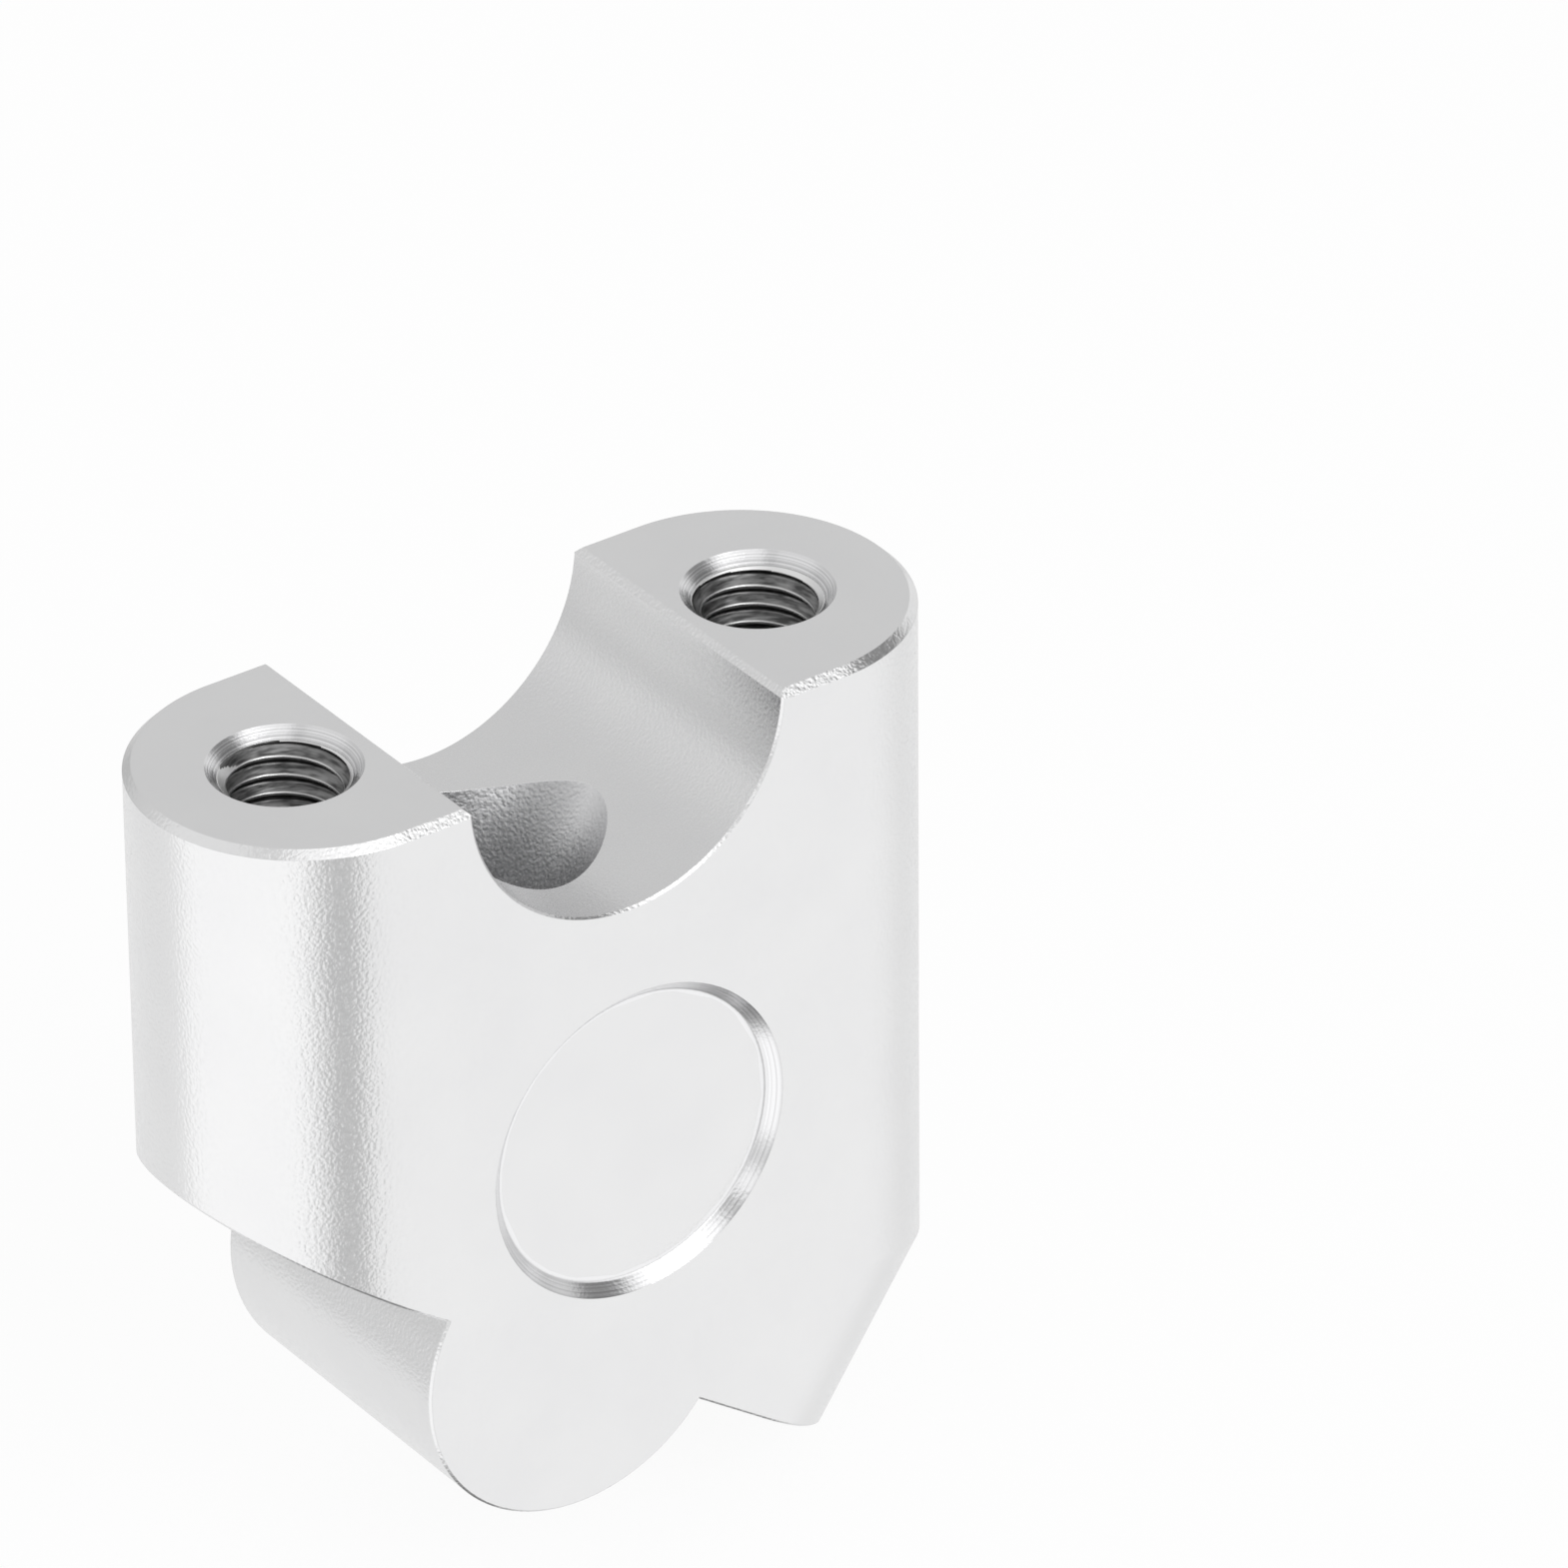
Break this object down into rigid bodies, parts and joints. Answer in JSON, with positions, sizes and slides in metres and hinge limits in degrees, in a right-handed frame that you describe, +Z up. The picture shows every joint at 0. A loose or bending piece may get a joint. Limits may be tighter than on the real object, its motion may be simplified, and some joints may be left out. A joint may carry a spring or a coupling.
{
  "type": "motorcycle bar riser",
  "caption": "Milled riser that lifts a handlebar and moves it back: round saddle between tapped lugs, leaning bolt holes and a half-round foot for the old bar clamp.",
  "frame": {"origin": "on the axis of the half-round foot, in the middle of the riser's width", "axes": "+Z up along the tapped holes, +X towards the nose that carries the rear lower bolt, Y along both bars"},
  "size_m": [0.0525, 0.0214, 0.0568],
  "materials": {
    "anodised_aluminium": "bead-blasted and clear anodised, satin"
  },
  "bodies": {
    "root": {"riser_body": "anodised_aluminium"}
  },
  "joints": []
}
